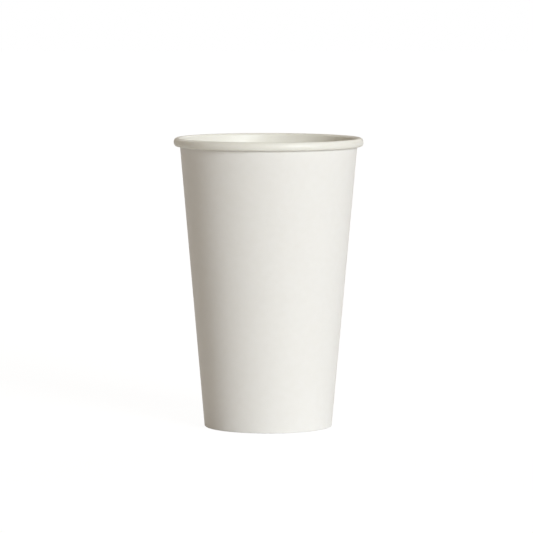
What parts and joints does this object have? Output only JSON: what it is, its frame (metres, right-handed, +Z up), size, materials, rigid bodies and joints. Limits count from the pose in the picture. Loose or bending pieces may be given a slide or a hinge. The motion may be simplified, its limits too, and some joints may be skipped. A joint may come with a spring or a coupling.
{
  "type": "paper coffee cup",
  "caption": "Plain single-wall paper cup for hot drinks, tapered, with a rolled rim, a lapped side seam and a recessed bottom held in a turned-in hem.",
  "frame": {"origin": "middle of the foot, on the surface that the cup stands on", "axes": "+Z up the cup's axis to its mouth; the side seam is at the back left, 165 degrees round from +X"},
  "size_m": [0.09, 0.09, 0.1374],
  "materials": {
    "cup_board": "plain warm-white board, matt outside and coated with a thin film inside",
    "bottom_board": "plain warm-white board, coated with a thin film on the side of the drink"
  },
  "bodies": {
    "root": {"sidewall": "cup_board", "bottom": "bottom_board"}
  },
  "joints": []
}
